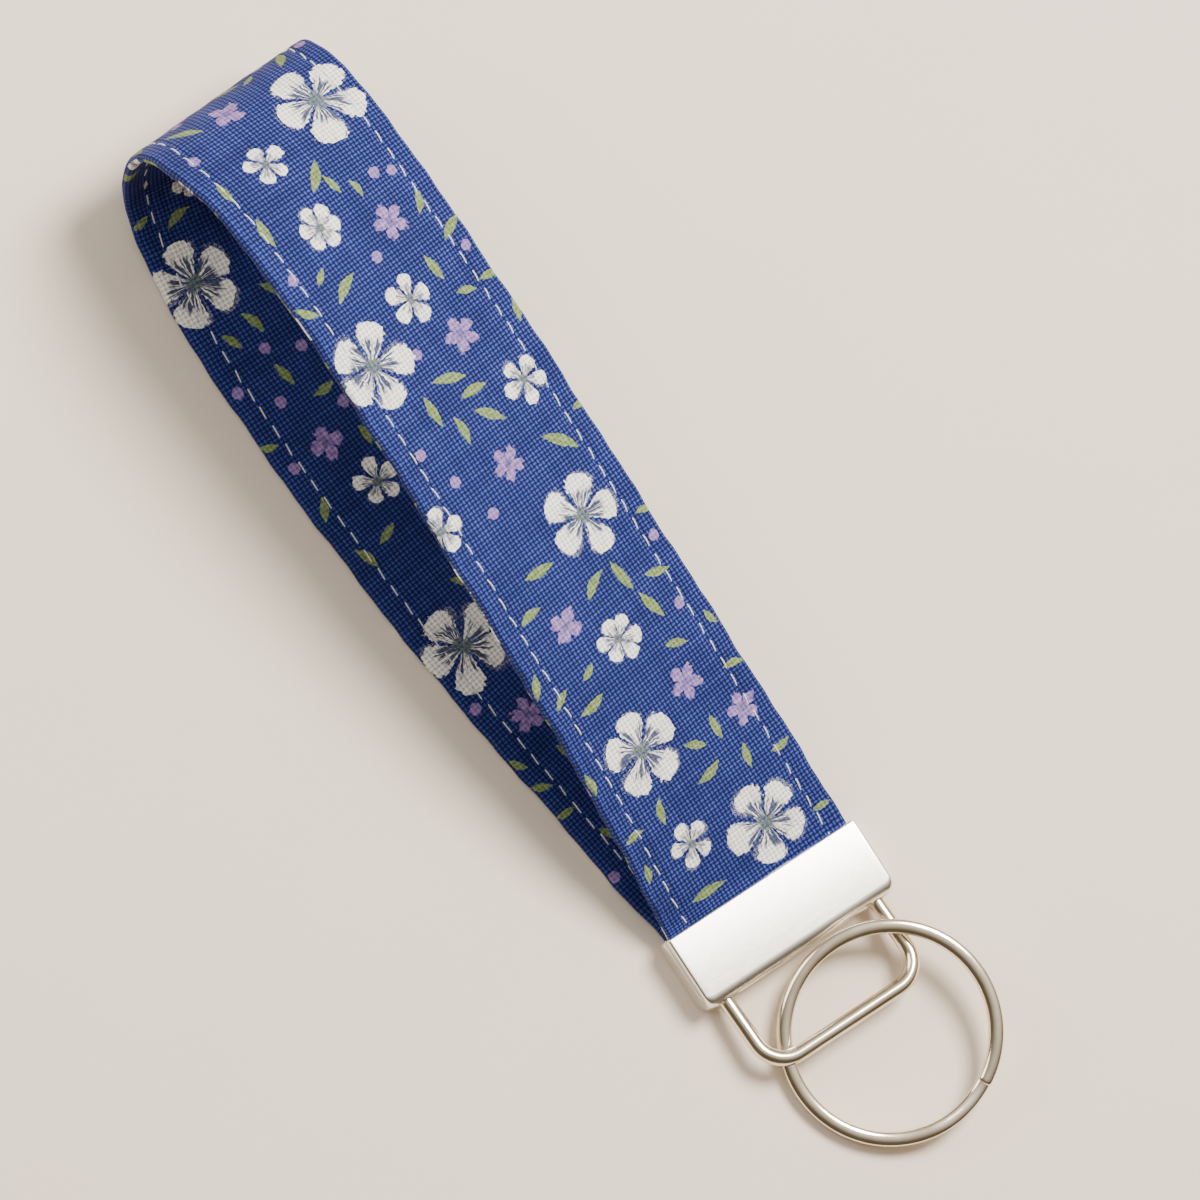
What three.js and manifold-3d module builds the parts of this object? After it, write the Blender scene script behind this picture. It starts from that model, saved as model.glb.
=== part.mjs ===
// Wristlet keychain: a fabric-covered webbing strap folded into a hand loop, its two ends
// crimped in a sheet-metal clamp, a wire loop hinged in the fold of the clamp, and a split
// ring threaded on the wire loop.
//
// Frame, in millimetres: the origin is the centre of the clamp's rear plate, on the surface
// that the keychain lies on. +Y runs from the clamp to the far end of the strap, +Z is up.

import * as THREE from 'three';
import { mergeVertices } from 'three/addons/utils/BufferGeometryUtils.js';
import Module from 'manifold-3d';

const wasm = await Module();
wasm.setup();

// ---------------------------------------------------------------- driving dimensions

// Strap: a 1.25 inch woven core inside a sewn cover.
const STRAP_WIDTH = 31.8;
const STRAP_THICK = 1.7;
const STRAP_CROWN = 0.05;
const EDGE_ROUNDING = 0.35;
const COVER_WALL = 0.3;
const CORE_GAP = 0.18;
const CORE_SIDE_GAP = 0.4;
const STRAP_STEPS = 64;
const FACE_STRIPS = 6;

// Sewing thread: one needle thread outside and one bobbin thread inside along each edge.
const SEAM_INSET = 3.3;
const THREAD_WIDTH = 0.45;
const THREAD_THICK = 0.15;
const THREAD_GAP = 0.03;

// The middle line of the strap from its front end in the clamp, over the top of the loop
// and back: x, y, z and the roll about the line in degrees. Roll lowers the right edge.
const STRAP_ROUTE = [
  [0.0, -2.2, 4.4, 0],
  [0.0, 2.0, 4.4, 0],
  [0.0, 6.8, 4.38, 0],
  [-0.5, 14.0, 7.6, 3.5],
  [-1.4, 31.0, 14.0, 9.2],
  [-2.8, 58.0, 21.8, 12.8],
  [-4.0, 89.0, 28.2, 15.5],
  [-5.0, 112.0, 30.7, 16.5],
  [-5.8, 128.0, 29.9, 13.5],
  [-6.8, 139.4, 23.6, 4],
  [-7.3, 142.4, 15.6, -2.5],
  [-8.5, 138.0, 6.2, -1.5],
  [-10.0, 127.0, 1.5, 0],
  [-10.7, 112.0, 1.15, 0],
  [-10.0, 89.0, 1.15, 0],
  [-7.3, 58.0, 1.15, 0],
  [-3.5, 31.0, 1.15, 0],
  [-1.3, 15.0, 1.3, 0],
  [0.0, 6.8, 1.95, 0],
  [0.0, 2.0, 2.0, 0],
  [0.0, -2.2, 2.0, 0],
];

// Clamp: one stamping, folded at the ring side, closed over both strap ends.
const CLAMP_WIDTH = 33.4;
const CLAMP_LENGTH = 12;
const CLAMP_THICK = 6.4;
const CLAMP_PLATE = 0.8;
const CLAMP_SIDE_WALL = 0.6;
const FOLD_RADIUS = 1.8;
const LIP_RADIUS = 0.5;
const PLAN_RADIUS = 1.4;
const FLANGE_SEAM = { low: 4.2, high: 4.45 };
const FLANGE_GROOVE = { low: 5.3, high: 5.55, depth: 0.3 };
const TOOTH_HEIGHT = 0.25;
const TOOTH_BASE = 0.6;
const TOOTH_PITCH = 2.4;
const TEETH_PER_JAW = 9;

// Wire loop: a rounded rectangle of wire, its hidden bar turning in the clamp's fold.
const WIRE_RADIUS = 1.2;
const WIRE_SIDES = 8;
const LOOP_PIVOT = { y: -3.8, z: 3.2 };
const LOOP_HALF_WIDTH = 13.45;
const LOOP_LENGTH = 14.4;
const LOOP_CORNER = 4.5;
const LOOP_INNER_CORNER = 2.0;
const LOOP_TILT_DEG = 6.8;
const WIRE_BUTT_GAP = 0.3;
const LOOP_STEPS = 70;
const LEG_SLOT = { inner: 11.5, outer: 15.0, low: 0.9, high: 5.5 };

// Split ring: flat-sided spring wire coiled twice, leaning on the wire loop's right leg.
const RING_OUTER_RADIUS = 16.5;
const RING_WIRE_RADIAL = 2.1;
const RING_WIRE_AXIAL = 1.1;
const RING_WIRE_ROUNDING = 0.4;
const RING_COIL_PITCH = 1.25;
const RING_CENTRE = new THREE.Vector3(4.3, -22.9, 4.39);
const RING_SLOPE = { x: 0.1845, y: 0.0641 };
const RING_JOG_DEG = 40;
const RING_JOG_AT_DEG = -81;
const RING_STEPS = 96;

// ---------------------------------------------------------------- materials

const cottonBlue = new THREE.MeshStandardMaterial({
  color: 0x1f3fae,
  roughness: 0.9,
  metalness: 0,
});
const webbingCream = new THREE.MeshStandardMaterial({
  color: 0xe8e0cf,
  roughness: 0.95,
  metalness: 0,
});
const threadWhite = new THREE.MeshStandardMaterial({
  color: 0xf0eee6,
  roughness: 0.7,
  metalness: 0,
});
const nickelSatin = new THREE.MeshStandardMaterial({
  color: 0xe9e4da,
  roughness: 0.3,
  metalness: 1,
});
const nickelBright = new THREE.MeshStandardMaterial({
  color: 0xddd6c4,
  roughness: 0.15,
  metalness: 1,
});

// ---------------------------------------------------------------- joining and cutting

function toSolid(geometry) {
  const bare = geometry.clone();
  bare.deleteAttribute('normal');
  bare.deleteAttribute('uv');
  const merged = mergeVertices(bare, 1e-4);
  const vertProperties = new Float32Array(merged.attributes.position.array);
  const triVerts = new Uint32Array(merged.index.array);
  return new wasm.Manifold(new wasm.Mesh({ numProp: 3, vertProperties, triVerts }));
}

function toGeometry(solid) {
  const mesh = solid.getMesh();
  const geometry = new THREE.BufferGeometry();
  geometry.setAttribute('position', new THREE.BufferAttribute(mesh.vertProperties, 3));
  geometry.setIndex(new THREE.BufferAttribute(mesh.triVerts, 1));
  geometry.computeVertexNormals();
  return geometry;
}

function block(x0, x1, y0, y1, z0, z1) {
  const geometry = new THREE.BoxGeometry(x1 - x0, y1 - y0, z1 - z0);
  geometry.translate((x0 + x1) / 2, (y0 + y1) / 2, (z0 + z1) / 2);
  return toSolid(geometry);
}

// ---------------------------------------------------------------- outlines

// A rectangle with a radius of its own at each corner: right-bottom, right-top, left-top,
// left-bottom.
function roundedRectangle(left, right, bottom, top, radii) {
  const [rightBottom, rightTop, leftTop, leftBottom] = radii;
  const outline = new THREE.Shape();
  outline.moveTo(left + leftBottom, bottom);
  outline.lineTo(right - rightBottom, bottom);
  outline.absarc(right - rightBottom, bottom + rightBottom, rightBottom, -Math.PI / 2, 0);
  outline.lineTo(right, top - rightTop);
  outline.absarc(right - rightTop, top - rightTop, rightTop, 0, Math.PI / 2);
  outline.lineTo(left + leftTop, top);
  outline.absarc(left + leftTop, top - leftTop, leftTop, Math.PI / 2, Math.PI);
  outline.lineTo(left, bottom + leftBottom);
  outline.absarc(left + leftBottom, bottom + leftBottom, leftBottom, Math.PI, Math.PI * 1.5);
  return outline;
}

function centredRectangle(width, height, radius) {
  const radii = [radius, radius, radius, radius];
  return roundedRectangle(-width / 2, width / 2, -height / 2, height / 2, radii);
}

// ---------------------------------------------------------------- strap

const strapLine = new THREE.CatmullRomCurve3(
  STRAP_ROUTE.map(([x, y, z]) => new THREE.Vector3(x, y, z)),
);
strapLine.arcLengthDivisions = 2000;
const strapRoll = new THREE.CatmullRomCurve3(
  STRAP_ROUTE.map(([, , , roll]) => new THREE.Vector3(THREE.MathUtils.degToRad(roll), 0, 0)),
  false,
  'catmullrom',
);
const strapLength = strapLine.getLength();

// The strap's frame at a distance along it: the point on its middle line, the direction
// across its width to the right, and the direction out of the loop.
function strapFrame(distance) {
  const u = THREE.MathUtils.clamp(distance / strapLength, 0, 1);
  const t = strapLine.getUtoTmapping(u);
  const point = strapLine.getPoint(t);
  const along = strapLine.getTangent(t);
  const across = new THREE.Vector3(1, 0, 0).addScaledVector(along, -along.x).normalize();
  across.applyAxisAngle(along, strapRoll.getPoint(t).x);
  const outward = new THREE.Vector3().crossVectors(across, along).normalize();
  return { point, across, outward };
}

// Bends a straight strip, drawn across X and Y and running along Z, to follow the strap.
// It runs from the strap's rear end to its front end, which keeps the strip right-handed.
function bendAlongStrap(geometry) {
  const position = geometry.attributes.position;
  for (let i = 0; i < position.count; i += 1) {
    const { point, across, outward } = strapFrame(strapLength - position.getZ(i));
    point.addScaledVector(across, position.getX(i));
    point.addScaledVector(outward, position.getY(i));
    position.setXYZ(i, point.x, point.y, point.z);
  }
  geometry.computeVertexNormals();
  return geometry;
}

function strapStrip(outline) {
  const options = { depth: strapLength, steps: STRAP_STEPS, bevelEnabled: false };
  return bendAlongStrap(new THREE.ExtrudeGeometry(outline, options));
}

// The section of a flat layer of the strap: two slightly crowned faces and rounded edges.
function layerOutline(width, thick, Outline = THREE.Shape) {
  const halfFace = width / 2 - thick * EDGE_ROUNDING;
  const points = [];
  for (const face of [-1, 1]) {
    for (let i = 0; i <= FACE_STRIPS; i += 1) {
      const share = face * (1 - (2 * i) / FACE_STRIPS);
      const crown = STRAP_CROWN * (1 - share * share);
      points.push(new THREE.Vector2(share * halfFace, face * (thick / 2 + crown)));
    }
    points.push(new THREE.Vector2((-face * width) / 2, 0));
  }
  return new Outline(points);
}

function coverGeometry() {
  const innerWidth = STRAP_WIDTH - 2 * COVER_WALL;
  const innerThick = STRAP_THICK - 2 * COVER_WALL;
  const outline = layerOutline(STRAP_WIDTH, STRAP_THICK);
  outline.holes.push(layerOutline(innerWidth, innerThick, THREE.Path));
  return strapStrip(outline);
}

function coreGeometry() {
  const width = STRAP_WIDTH - 2 * (COVER_WALL + CORE_SIDE_GAP);
  const thick = STRAP_THICK - 2 * (COVER_WALL + CORE_GAP);
  return strapStrip(layerOutline(width, thick));
}

// side is -1 for the left seam and 1 for the right; face is 1 outside and -1 inside.
function threadGeometry(side, face) {
  const x = side * (STRAP_WIDTH / 2 - SEAM_INSET);
  const low = face * (STRAP_THICK / 2 + STRAP_CROWN + THREAD_GAP);
  const high = low + face * THREAD_THICK;
  const outline = new THREE.Shape();
  outline.moveTo(x - THREAD_WIDTH / 2, low);
  outline.lineTo(x + THREAD_WIDTH / 2, low);
  outline.lineTo(x, high);
  outline.closePath();
  return strapStrip(outline);
}

// ---------------------------------------------------------------- clamp

// Extrudes an outline drawn in Y and Z along X, centred on X = 0.
function extrudeAcross(outline, width) {
  const options = { depth: width, bevelEnabled: false, curveSegments: 6 };
  const geometry = new THREE.ExtrudeGeometry(outline, options);
  const turn = new THREE.Matrix4().makeBasis(
    new THREE.Vector3(0, 1, 0),
    new THREE.Vector3(0, 0, 1),
    new THREE.Vector3(1, 0, 0),
  );
  geometry.applyMatrix4(turn);
  geometry.translate(-width / 2, 0, 0);
  return toSolid(geometry);
}

function clampTeeth() {
  const halfRow = ((TEETH_PER_JAW - 1) / 2) * TOOTH_PITCH;
  const y = CLAMP_LENGTH / 2 - 1;
  const sunk = 0.05;
  let teeth = null;
  for (let i = 0; i < TEETH_PER_JAW; i += 1) {
    for (const jaw of [-1, 1]) {
      const tooth = new THREE.ConeGeometry(TOOTH_BASE, TOOTH_HEIGHT + sunk, 4);
      tooth.rotateX((-jaw * Math.PI) / 2);
      const face = CLAMP_THICK / 2 - CLAMP_PLATE;
      const z = CLAMP_THICK / 2 + jaw * (face + sunk - (TOOTH_HEIGHT + sunk) / 2);
      tooth.translate(-halfRow + i * TOOTH_PITCH, y, z);
      const solid = toSolid(tooth);
      teeth = teeth ? teeth.add(solid) : solid;
    }
  }
  return teeth;
}

function clampGeometry() {
  const halfLength = CLAMP_LENGTH / 2;
  const sideRadii = [LIP_RADIUS, LIP_RADIUS, FOLD_RADIUS, FOLD_RADIUS];
  const side = roundedRectangle(-halfLength, halfLength, 0, CLAMP_THICK, sideRadii);
  const planRadii = [LIP_RADIUS, LIP_RADIUS, PLAN_RADIUS, PLAN_RADIUS];
  const halfWidth = CLAMP_WIDTH / 2;
  const plan = roundedRectangle(-halfLength, halfLength, -halfWidth, halfWidth, planRadii);
  const planGeometry = new THREE.ExtrudeGeometry(plan, {
    depth: CLAMP_THICK + 2,
    bevelEnabled: false,
    curveSegments: 4,
  });
  planGeometry.rotateZ(Math.PI / 2);
  planGeometry.translate(0, 0, -1);
  let body = extrudeAcross(side, CLAMP_WIDTH).intersect(toSolid(planGeometry));

  const innerFold = FOLD_RADIUS - CLAMP_PLATE;
  const pocket = roundedRectangle(
    -halfLength + CLAMP_PLATE,
    halfLength + 2,
    CLAMP_PLATE,
    CLAMP_THICK - CLAMP_PLATE,
    [0.1, 0.1, innerFold, innerFold],
  );
  body = body.subtract(extrudeAcross(pocket, CLAMP_WIDTH - 2 * CLAMP_SIDE_WALL));
  body = body.add(clampTeeth());

  const seamStart = -halfLength + FOLD_RADIUS;
  for (const end of [-1, 1]) {
    const inner = end * (halfWidth - CLAMP_SIDE_WALL - 0.2);
    const groove = end * (halfWidth - FLANGE_GROOVE.depth);
    const outer = end * (halfWidth + 1);
    const slotX = [Math.min(inner, outer), Math.max(inner, outer)];
    const grooveX = [Math.min(groove, outer), Math.max(groove, outer)];
    const { low, high } = FLANGE_SEAM;
    body = body.subtract(block(...slotX, seamStart, halfLength + 1, low, high));
    body = body.subtract(
      block(...grooveX, seamStart, halfLength + 1, FLANGE_GROOVE.low, FLANGE_GROOVE.high),
    );
    const legs = [end * LEG_SLOT.inner, end * LEG_SLOT.outer].sort((a, b) => a - b);
    const wallInside = -halfLength + CLAMP_PLATE + 0.2;
    body = body.subtract(
      block(...legs, -halfLength - 1, wallInside, LEG_SLOT.low, LEG_SLOT.high),
    );
  }
  return toGeometry(body);
}

// ---------------------------------------------------------------- wire loop

// The centre line of the wire in the loop's own plane: pivot bar on Y = 0, reaching to
// Y = -LOOP_LENGTH. It starts and ends at the butt joint in the middle of the pivot bar.
function wireOutline() {
  const halfGap = WIRE_BUTT_GAP / 2;
  const side = LOOP_HALF_WIDTH;
  const far = -LOOP_LENGTH;
  const inner = LOOP_INNER_CORNER;
  const corner = LOOP_CORNER;
  const quarter = Math.PI / 2;
  const path = new THREE.Path();
  path.moveTo(halfGap, 0);
  path.lineTo(side - inner, 0);
  path.absarc(side - inner, -inner, inner, quarter, 0, true);
  path.lineTo(side, far + corner);
  path.absarc(side - corner, far + corner, corner, 0, -quarter, true);
  path.lineTo(-side + corner, far);
  path.absarc(-side + corner, far + corner, corner, -quarter, -2 * quarter, true);
  path.lineTo(-side, -inner);
  path.absarc(-side + inner, -inner, inner, 2 * quarter, quarter, true);
  path.lineTo(-halfGap, 0);
  return path;
}

class FlatCurve extends THREE.Curve {
  constructor(path) {
    super();
    this.path = path;
  }

  getPoint(t) {
    const { x, y } = this.path.getPointAt(t);
    return new THREE.Vector3(x, y, 0);
  }
}

function wireLoopGeometry() {
  const section = new THREE.Shape();
  section.absarc(0, 0, WIRE_RADIUS, 0, 2 * Math.PI);
  return new THREE.ExtrudeGeometry(section, {
    steps: LOOP_STEPS,
    extrudePath: new FlatCurve(wireOutline()),
    bevelEnabled: false,
    curveSegments: WIRE_SIDES / 2,
  });
}

// ---------------------------------------------------------------- split ring

// Upper coil, a short slope down past both wire ends, then the lower coil.
class SplitRingCurve extends THREE.Curve {
  getPoint(t) {
    const jog = RING_JOG_DEG;
    const turned = t * (720 - jog);
    const fall = THREE.MathUtils.smoothstep(turned, 360 - jog, 360);
    const angle = THREE.MathUtils.degToRad(RING_JOG_AT_DEG + jog / 2 + turned);
    const radius = RING_OUTER_RADIUS - RING_WIRE_RADIAL / 2;
    const z = RING_COIL_PITCH * (0.5 - fall);
    return new THREE.Vector3(radius * Math.cos(angle), radius * Math.sin(angle), z);
  }
}

function splitRingGeometry() {
  const section = centredRectangle(RING_WIRE_AXIAL, RING_WIRE_RADIAL, RING_WIRE_ROUNDING);
  return new THREE.ExtrudeGeometry(section, {
    steps: RING_STEPS,
    extrudePath: new SplitRingCurve(),
    bevelEnabled: false,
    curveSegments: 1,
  });
}

// ---------------------------------------------------------------- assembly

function named(name, geometry, material) {
  const mesh = new THREE.Mesh(geometry, material);
  mesh.name = name;
  return mesh;
}

const group = new THREE.Group();

group.add(named('strap_cover', coverGeometry(), cottonBlue));
group.add(named('strap_core', coreGeometry(), webbingCream));
for (const [side, sideName] of [[-1, 'left'], [1, 'right']]) {
  group.add(named(`needle_thread_${sideName}`, threadGeometry(side, 1), threadWhite));
  group.add(named(`bobbin_thread_${sideName}`, threadGeometry(side, -1), threadWhite));
}

group.add(named('clamp_shell', clampGeometry(), nickelSatin));

const loopGroup = new THREE.Group();
loopGroup.position.set(0, LOOP_PIVOT.y, LOOP_PIVOT.z);
loopGroup.rotation.x = THREE.MathUtils.degToRad(-LOOP_TILT_DEG);
loopGroup.add(named('wire_loop', wireLoopGeometry(), nickelBright));
group.add(loopGroup);

const ringGroup = new THREE.Group();
const ringNormal = new THREE.Vector3(-RING_SLOPE.x, -RING_SLOPE.y, 1).normalize();
ringGroup.position.copy(RING_CENTRE);
ringGroup.quaternion.setFromUnitVectors(new THREE.Vector3(0, 0, 1), ringNormal);
ringGroup.add(named('split_ring', splitRingGeometry(), nickelBright));
group.add(ringGroup);

export default group;
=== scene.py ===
"""Looks of the wristlet keychain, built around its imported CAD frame.

Lengths are written in millimetres and turned into metres by MM. The frame is the part's own:
the origin is the centre of the clamp's rear plate, +Y runs along the strap, +Z is up.
"""

import math

import bpy
import numpy as np
from mathutils import Matrix, Vector


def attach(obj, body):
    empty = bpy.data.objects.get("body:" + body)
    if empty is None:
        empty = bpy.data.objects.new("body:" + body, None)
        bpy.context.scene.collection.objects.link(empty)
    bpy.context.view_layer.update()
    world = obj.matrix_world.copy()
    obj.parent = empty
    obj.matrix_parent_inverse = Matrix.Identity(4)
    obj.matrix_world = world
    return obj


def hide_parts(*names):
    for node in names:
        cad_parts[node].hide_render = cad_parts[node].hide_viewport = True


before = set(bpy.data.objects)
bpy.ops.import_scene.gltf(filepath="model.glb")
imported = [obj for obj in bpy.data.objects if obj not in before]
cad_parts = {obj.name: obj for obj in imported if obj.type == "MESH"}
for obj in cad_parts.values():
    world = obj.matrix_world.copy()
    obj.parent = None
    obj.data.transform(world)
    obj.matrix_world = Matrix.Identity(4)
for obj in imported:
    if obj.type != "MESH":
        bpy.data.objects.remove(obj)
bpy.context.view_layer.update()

MM = 0.001
SEED = 41

# ------------------------------------------------------------------ dimensions

# The middle line of the strap: x, y, z in millimetres and the roll about it in degrees.
STRAP_ROUTE = np.array([
    (0.0, -2.2, 4.4, 0), (0.0, 2.0, 4.4, 0), (0.0, 6.8, 4.38, 0), (-0.5, 14.0, 7.6, 3.5),
    (-1.4, 31.0, 14, 9.2), (-2.8, 58.0, 21.8, 12.8), (-4.0, 89.0, 28.2, 15.5),
    (-5.0, 112.0, 30.7, 16.5), (-5.8, 128.0, 29.9, 13.5), (-6.8, 139.4, 23.6, 4),
    (-7.3, 142.4, 15.6, -2.5), (-8.5, 138.0, 6.2, -1.5), (-10.0, 127.0, 1.5, 0),
    (-10.7, 112.0, 1.15, 0), (-10.0, 89.0, 1.15, 0), (-7.3, 58.0, 1.15, 0),
    (-3.5, 31.0, 1.15, 0), (-1.3, 15.0, 1.3, 0), (0.0, 6.8, 1.95, 0), (0.0, 2.0, 2, 0),
    (0.0, -2.2, 2, 0),
])
STRAP_HALF = 15.9
STRAP_THICK = 1.7
EDGE_REACH = 0.8
SEAM_X = STRAP_HALF - 3.3
SEAM_DEPTH = 0.15
STITCH_PITCH = 3.1
STITCH_LENGTH = 2.4
STITCH_RADIUS = 0.11
LIP_Y = 6.0

CLAMP_HALF_WIDTH = 16.7
CLAMP_HALF_LENGTH = 6.0
CLAMP_THICK = 6.4
CLAMP_PLATE = 0.8
CLAMP_SIDE_WALL = 0.6
CLAMP_PLAN_RADIUS = 1.4
CLAMP_EDGE_RADIUS = 0.45
CLAMP_FOLD_RADIUS = 1.8
CLAMP_LIP_RADIUS = 0.4
LEG_SLOT = {"inner": 11.5, "outer": 15.0, "low": 0.9, "high": 5.5}
# Lines cut in each end wall: how deep, and their lower and upper height.
END_LINES = {"seam": (0.85, 3.95, 4.45), "groove": (0.28, 5.45, 5.85)}

WIRE_RADIUS = 1.2
WIRE_SIDES = 28
WIRE_STEP = 0.35
LOOP_PIVOT = (0.0, -3.8, 3.2)
LOOP_HALF_WIDTH = 13.45
LOOP_LENGTH = 14.4
LOOP_CORNER = 4.5
LOOP_INNER_CORNER = 2.0
LOOP_TILT = math.radians(6.8)
BUTT_HALF_GAP = 0.15

RING_RADIUS = 15.45
RING_HALF_RADIAL = 1.05
RING_HALF_AXIAL = 0.58
RING_PITCH = 1.25
RING_CENTRE = (4.3, -22.9, 4.39)
RING_SLOPE = (0.1845, 0.0641)
RING_JOG = 40.0
RING_JOG_AT = -81.0
RING_STEP = 1.25

# ------------------------------------------------------------------ camera

VIEW_TILT = math.radians(15)
VIEW_TURN = math.radians(33)
VIEW_TARGET = Vector((4.3, 52.5, 0.0)) * MM
VIEW_DISTANCE = 2.4
VIEW_WIDTH = 0.174
SENSOR_WIDTH = 36


def make_camera():
    """Nearly straight down, tilted to the left, with the strap running up and to the left."""
    across = Vector((math.cos(VIEW_TILT), 0, math.sin(VIEW_TILT)))
    ahead = Vector((0, 1, 0))
    right = across * math.cos(VIEW_TURN) - ahead * math.sin(VIEW_TURN)
    up = across * math.sin(VIEW_TURN) + ahead * math.cos(VIEW_TURN)
    back = right.cross(up)
    camera = bpy.data.objects.new("camera", bpy.data.cameras.new("camera"))
    camera.data.sensor_width = SENSOR_WIDTH
    camera.data.lens = SENSOR_WIDTH * VIEW_DISTANCE / VIEW_WIDTH
    camera.data.clip_start = 0.01
    turn = Matrix((right, up, back)).transposed().to_4x4()
    camera.matrix_world = Matrix.Translation(VIEW_TARGET + back * VIEW_DISTANCE) @ turn
    bpy.context.scene.collection.objects.link(camera)
    bpy.context.scene.camera = camera
    return right, up, back


VIEW_RIGHT, VIEW_UP, VIEW_BACK = make_camera()

# ------------------------------------------------------------------ mesh building


def build_mesh(name, points, faces, corners=None, smooth=True):
    """A mesh object from points in millimetres. corners: attribute name -> (n corners, 3)."""
    mesh = bpy.data.meshes.new(name)
    mesh.from_pydata(np.asarray(points) * MM, [], faces)
    for key, values in (corners or {}).items():
        attribute = mesh.attributes.new(key, "FLOAT_VECTOR", "CORNER")
        attribute.data.foreach_set("vector", np.asarray(values, np.float32).ravel())
    if smooth:
        mesh.polygons.foreach_set("use_smooth", np.ones(len(mesh.polygons), bool))
    piece = bpy.data.objects.new(name, mesh)
    bpy.context.scene.collection.objects.link(piece)
    return piece


def tube_faces(rows, cols, offset=0):
    """Quads of a closed tube of rows rings of cols points, then its two end caps."""
    row, col = np.meshgrid(np.arange(rows - 1), np.arange(cols), indexing="ij")
    ahead = (col + 1) % cols
    quads = np.stack([
        row * cols + col, row * cols + ahead, (row + 1) * cols + ahead, (row + 1) * cols + col,
    ], -1).reshape(-1, 4) + offset
    caps = [
        list(range(offset + cols - 1, offset - 1, -1)),
        list(range(offset + (rows - 1) * cols, offset + rows * cols)),
    ]
    return quads.tolist(), caps


def tube_corners(around, along):
    """Corner values (around, along, 0) for tube_faces. around has one more value than cols."""
    rows, cols = len(along), len(around) - 1
    row, col = np.meshgrid(np.arange(rows - 1), np.arange(cols), indexing="ij")
    row, col = row.ravel(), col.ravel()
    pairs = [(row, col), (row, col + 1), (row + 1, col + 1), (row + 1, col)]
    quads = np.stack([
        np.stack([around[c], along[r], np.zeros(len(r))], -1) for r, c in pairs
    ], 1)
    caps = np.zeros((2 * cols, 3))
    caps[:, 1] = np.repeat([along[0], along[-1]], cols)
    return np.concatenate([quads.reshape(-1, 3), caps])


def ellipse(count, half_x, half_y):
    angle = np.arange(count) * 2 * np.pi / count
    return np.stack([half_x * np.cos(angle), half_y * np.sin(angle)], -1)


# ------------------------------------------------------------------ the strap's own frame


SPAN_SAMPLES = 300


def spline(points, centripetal):
    """Samples of the Catmull-Rom curve that the CAD strap follows, SPAN_SAMPLES to a span."""
    padded = np.vstack([2 * points[0] - points[1], points, 2 * points[-1] - points[-2]])
    samples = []
    for i in range(len(points) - 1):
        p0, p1, p2, p3 = padded[i:i + 4]
        d0, d1, d2 = 1.0, 1.0, 1.0
        if centripetal:
            d0, d1, d2 = (np.linalg.norm(b - a) ** 0.5 for a, b in ((p0, p1), (p1, p2), (p2, p3)))
        t1 = ((p1 - p0) / d0 - (p2 - p0) / (d0 + d1) + (p2 - p1) / d1) * d1
        t2 = ((p2 - p1) / d1 - (p3 - p1) / (d1 + d2) + (p3 - p2) / d2) * d1
        t = (np.arange(SPAN_SAMPLES) / SPAN_SAMPLES)[:, None]
        cubic = 2 * p1 - 2 * p2 + t1 + t2
        square = -3 * p1 + 3 * p2 - 2 * t1 - t2
        samples.append(p1 + t1 * t + square * t * t + cubic * t ** 3)
    return np.vstack([*samples, points[-1:]])


def unit(vectors):
    return vectors / np.linalg.norm(vectors, axis=-1, keepdims=True)


LINE = spline(STRAP_ROUTE[:, :3], True)
ROLL = np.radians(spline(STRAP_ROUTE[:, 3:], False)[:, 0])
LINE_AT = np.concatenate([[0], np.cumsum(np.linalg.norm(np.diff(LINE, axis=0), axis=1))])
STRAP_LENGTH = LINE_AT[-1]
ALONG = unit(np.gradient(LINE, axis=0))
RIGHT = unit(np.array([1.0, 0, 0]) - ALONG * ALONG[:, :1])
ACROSS = (
    RIGHT * np.cos(ROLL)[:, None]
    + np.cross(ALONG, RIGHT) * np.sin(ROLL)[:, None]
)
OUTWARD = unit(np.cross(ACROSS, ALONG))


def on_strap(s, x, height):
    """Points at s along the strap, x across it and height out of its middle surface."""
    def at(table):
        return np.stack([np.interp(s, LINE_AT, table[:, k]) for k in range(3)], -1)
    return at(LINE) + at(ACROSS) * x[..., None] + at(OUTWARD) * height[..., None]


def strap_at_y(y, back):
    """How far along the strap its middle line reaches y, on the front or the back strand."""
    top = int(np.argmax(LINE[:, 1]))
    if back:
        return float(np.interp(-y, -LINE[top:, 1], LINE_AT[top:]))
    return float(np.interp(y, LINE[:top, 1], LINE_AT[:top]))


# ------------------------------------------------------------------ strap cover


def wave(s, *terms):
    return sum(size * np.sin(2 * np.pi * s / length + phase) for size, length, phase in terms)


def cover_half_width(s, side):
    return STRAP_HALF + wave(s, (0.09, 23, side), (0.07, 11.3, 2 * side), (0.04, 5.1, side))


def face_height(x, s, face):
    """Height of a face above the middle surface: seam grooves, puckers and slack."""
    seam = np.exp(-(((np.abs(x) - SEAM_X) / 0.55) ** 2))
    pull = 0.5 + 0.5 * np.cos(2 * np.pi * s / STITCH_PITCH)
    groove = seam * (SEAM_DEPTH + 0.09 * pull)
    pucker = 0.035 * np.exp(-(((np.abs(x) - SEAM_X) / 2.2) ** 2)) * pull
    slack = wave(s + 3 * face * x, (0.03, 19, 1), (0.025, 31, 4 + face)) * (1 - seam)
    slack = slack + wave(s - 2.2 * x, (0.02, 9.7, face))
    thin = 0.12 * np.clip((np.abs(x) - SEAM_X) / 3.3, 0, 1) ** 2
    return STRAP_THICK / 2 - groove - pucker + slack - thin


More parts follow.
